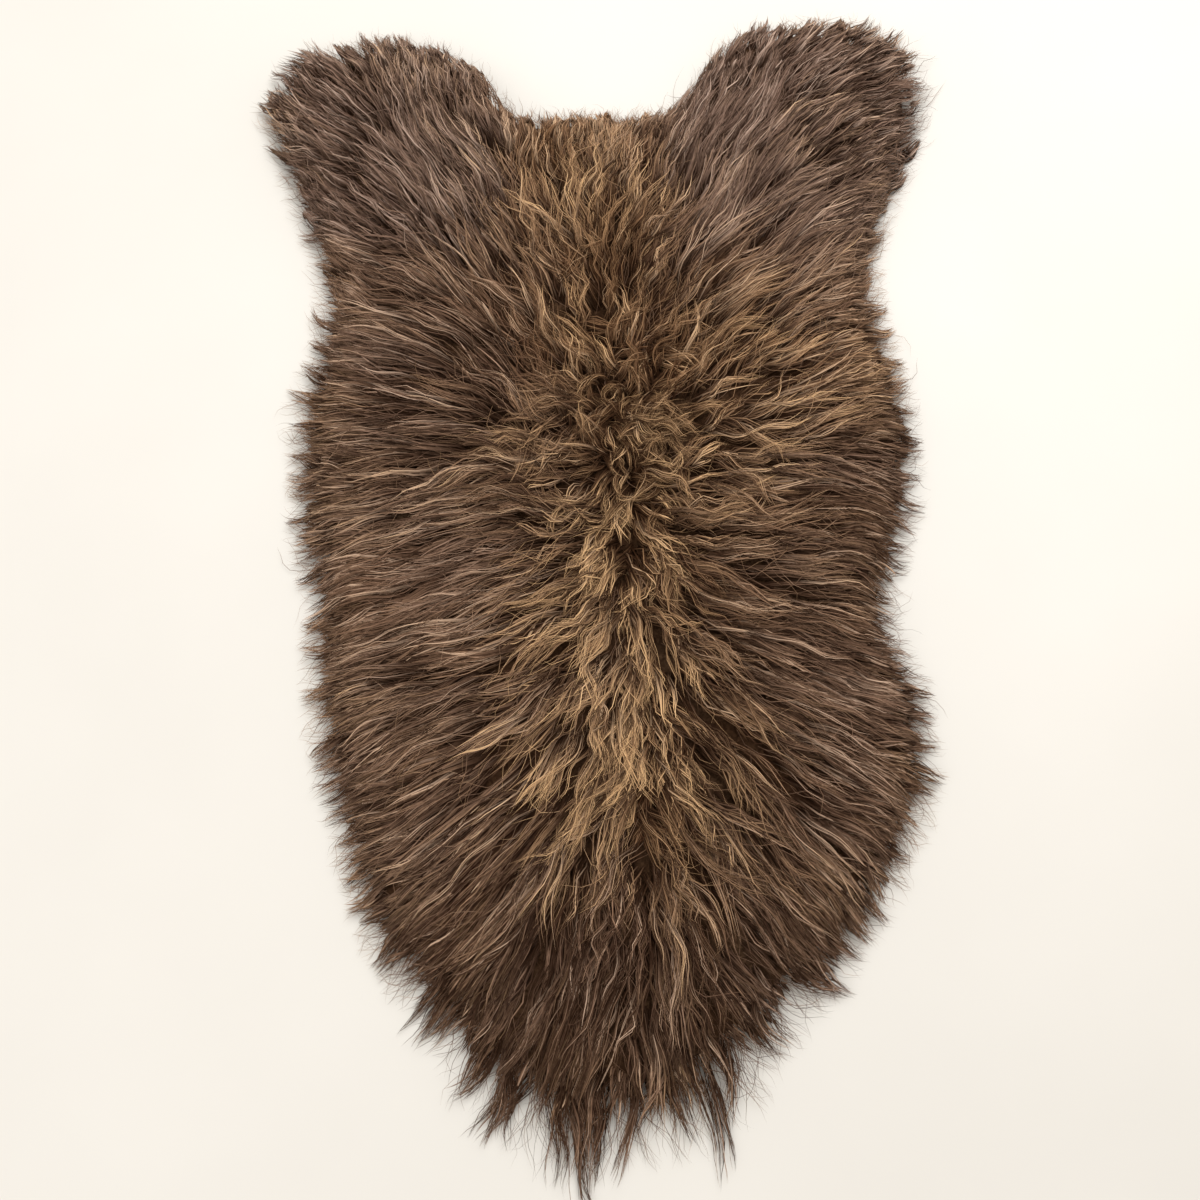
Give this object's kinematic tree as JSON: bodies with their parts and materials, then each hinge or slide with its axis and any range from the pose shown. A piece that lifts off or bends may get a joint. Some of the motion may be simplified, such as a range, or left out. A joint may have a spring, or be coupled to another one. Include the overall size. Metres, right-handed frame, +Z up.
{
  "type": "sheepskin",
  "caption": "Long-wool sheepskin laid flat: a tanned skin with two leg flaps and a pointed neck end, under deep wool that parts along the back and ends in loose locks.",
  "frame": {"origin": "on the floor, at the middle of the footprint of the skin and its wool", "axes": "+Z up, away from the floor; +Y along the back, towards the end with the two leg flaps; +X to the right when seen from above with that end at the top"},
  "size_m": [0.7564, 1.2291, 0.0676],
  "materials": {
    "leather": "matt suede, the flesh side of the skin, pale tan",
    "wool": "long natural wool, dark brown with paler, sun-bleached tips"
  },
  "bodies": {
    "root": {"skin": "leather", "fleece": "wool"}
  },
  "joints": []
}
